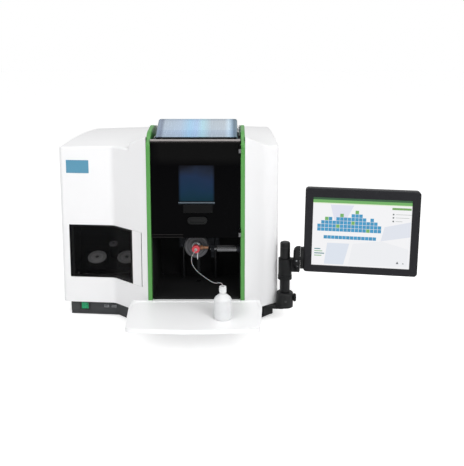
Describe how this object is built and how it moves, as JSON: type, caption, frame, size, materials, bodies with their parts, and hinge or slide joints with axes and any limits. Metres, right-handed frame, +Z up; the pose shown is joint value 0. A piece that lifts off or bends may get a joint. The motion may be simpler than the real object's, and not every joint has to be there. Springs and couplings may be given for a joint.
{
  "type": "atomic absorption spectrometer",
  "caption": "Bench-top flame atomic absorption spectrometer with burner bay, hinged doors, lamp bay, sample shelf and a side screen on an arm.",
  "frame": {"origin": "middle of the footprint of the whole instrument with its screen and shelf, on the bench", "axes": "+X to the operator's right, +Y to the back, +Z up"},
  "size_m": [1.0909, 0.911, 0.624],
  "materials": {
    "white_housing": "fine moulded grain",
    "door_strip": "fine moulded grain",
    "rear_steel": "fine powder coat",
    "green_trim": "satin moulded",
    "plinth_grey": "powder coat",
    "foot_rubber": "moulded",
    "bay_black": "matt heat-proof coat",
    "hood_steel": "polished sheet",
    "beam_quartz": "polished",
    "door_black": "gloss lacquer",
    "door_blue_glass": "polished filter glass",
    "door_silver": "brushed",
    "hinge_steel": "brushed",
    "burner_titanium": "heat-tinted",
    "chamber_plastic": "moulded",
    "cap_grey": "moulded",
    "nebulizer_steel": "turned",
    "knob_red": "moulded",
    "fitting_brass": "turned",
    "carriage_metal": "anodised",
    "knob_black": "polished",
    "pinion_brass": "cut",
    "cradle_metal": "satin",
    "lamp_shell": "moulded",
    "smoked_pane": "smoked",
    "bottle_white": "translucent moulded",
    "tube_clear": "soft tube",
    "switch_black": "moulded",
    "switch_green": "translucent",
    "port_metal": "plated",
    "arm_black": "satin coat",
    "pole_black": "anodised tube",
    "screen_black": "fine grain",
    "screen_face": "lit panel",
    "bench_casting": "cast",
    "supply_steel": "plated sheet",
    "gas_block": "machined"
  },
  "bodies": {
    "root": {"base_pan": "plinth_grey", "rubber_feet": "foot_rubber", "left_cover": "white_housing", "right_cover": "white_housing", "centre_cover": "white_housing", "rear_panel": "rear_steel", "left_trim": "green_trim", "right_trim": "green_trim", "front_sill": "white_housing", "burner_bay_liner": "bay_black", "burner_bay_floor": "bay_black", "exhaust_frame": "bay_black", "heat_shield": "hood_steel", "beam_windows": "beam_quartz", "door_hinge_brackets": "hinge_steel", "guide_rods": "bay_black", "knob_bearing": "nebulizer_steel", "igniter_arm": "burner_titanium", "lamp_bay_liner": "bay_black", "lamp_cradle": "cradle_metal", "lamp_door_pins": "hinge_steel", "front_tray": "white_housing", "sample_bottle": "bottle_white", "bottle_cap": "bottle_white", "switch_frame": "switch_black", "usb_ports": "port_metal", "arm_bracket": "arm_black", "arm_pole": "pole_black", "optical_bench": "bench_casting", "monochromator": "bench_casting", "power_supply": "supply_steel", "gas_box": "gas_block"},
    "burner_door": {"burner_door": "door_black", "door_window": "door_blue_glass", "door_latch_block": "door_black", "door_finger_pull": "door_black", "door_top_strip": "door_silver"},
    "lamp_door": {"lamp_door_frame": "door_strip", "lamp_door_window": "smoked_pane"},
    "lamp_left": {"lamp_left": "lamp_shell"},
    "lamp_centre": {"lamp_centre": "lamp_shell"},
    "lamp_right": {"lamp_right": "lamp_shell"},
    "burner": {"burner_carriage": "carriage_metal", "burner_head": "burner_titanium", "spray_chamber": "chamber_plastic", "chamber_end_cap": "cap_grey", "nebulizer_body": "nebulizer_steel", "oxidant_fitting": "fitting_brass", "drain_elbow": "chamber_plastic", "sample_tube": "tube_clear"},
    "nebulizer_knob": {"nebulizer_knob": "knob_red"},
    "height_knob": {"height_knob": "knob_black", "height_pinion": "pinion_brass"},
    "rocker": {"switch_rocker": "switch_green"},
    "arm_clamp": {"arm_clamp": "arm_black"},
    "arm_collar": {"arm_collar": "arm_black"},
    "screen": {"tilt_hub": "screen_black", "screen_shell": "screen_black", "screen_bezel": "screen_black", "screen_panel": "screen_face"}
  },
  "joints": [
    {"name": "burner_door_hinge", "type": "hinge", "parent": "root", "child": "burner_door", "pos_m": [0.00605, -0.24602, 0.43], "axis": [0, 0, 1], "range_deg": [0, 110]},
    {"name": "lamp_door_hinge", "type": "hinge", "parent": "root", "child": "lamp_door", "pos_m": [-0.51555, -0.12104, 0.214], "axis": [0, 0, -1], "range_deg": [0, 88]},
    {"name": "lamp_left_pull", "type": "slide", "parent": "root", "child": "lamp_left", "axis": [0, -0.3907, 0.9205], "range_m": [0, 0.09]},
    {"name": "lamp_centre_pull", "type": "slide", "parent": "root", "child": "lamp_centre", "axis": [0, -0.3907, 0.9205], "range_m": [0, 0.09]},
    {"name": "lamp_right_pull", "type": "slide", "parent": "root", "child": "lamp_right", "axis": [0, -0.3907, 0.9205], "range_m": [0, 0.09]},
    {"name": "burner_height", "type": "slide", "parent": "root", "child": "burner", "axis": [0, 0, 1], "range_m": [-0.003, 0.008]},
    {"name": "nebulizer_knob_turn", "type": "hinge", "parent": "burner", "child": "nebulizer_knob", "pos_m": [-0.12345, -0.21252, 0.245], "axis": [0, -1, 0], "range_deg": [-180, 180]},
    {"name": "height_knob_turn", "type": "hinge", "parent": "root", "child": "height_knob", "pos_m": [-0.04145, -0.19751, 0.242], "axis": [1, 0, 0], "range_deg": [-22, 58]},
    {"name": "switch_rock", "type": "hinge", "parent": "root", "child": "rocker", "pos_m": [-0.48112, -0.1059, 0.0305], "axis": [0.9964, -0.0845, 0], "range_deg": [-8, 8]},
    {"name": "arm_height", "type": "slide", "parent": "root", "child": "arm_clamp", "axis": [0, 0, 1], "range_m": [-0.036, 0.04]},
    {"name": "arm_swing", "type": "hinge", "parent": "arm_clamp", "child": "arm_collar", "pos_m": [0.14655, -0.15352, 0.17], "axis": [0, 0, 1], "range_deg": [-45, 60]},
    {"name": "screen_tilt", "type": "hinge", "parent": "arm_collar", "child": "screen", "pos_m": [0.19315, -0.15069, 0.197], "axis": [0.9936, -0.1115, -0.0175], "range_deg": [-20, 8]}
  ],
  "couplings": [
    {"joint": "height_knob_turn", "follows": "burner_height", "rad_per_m": 125}
  ]
}
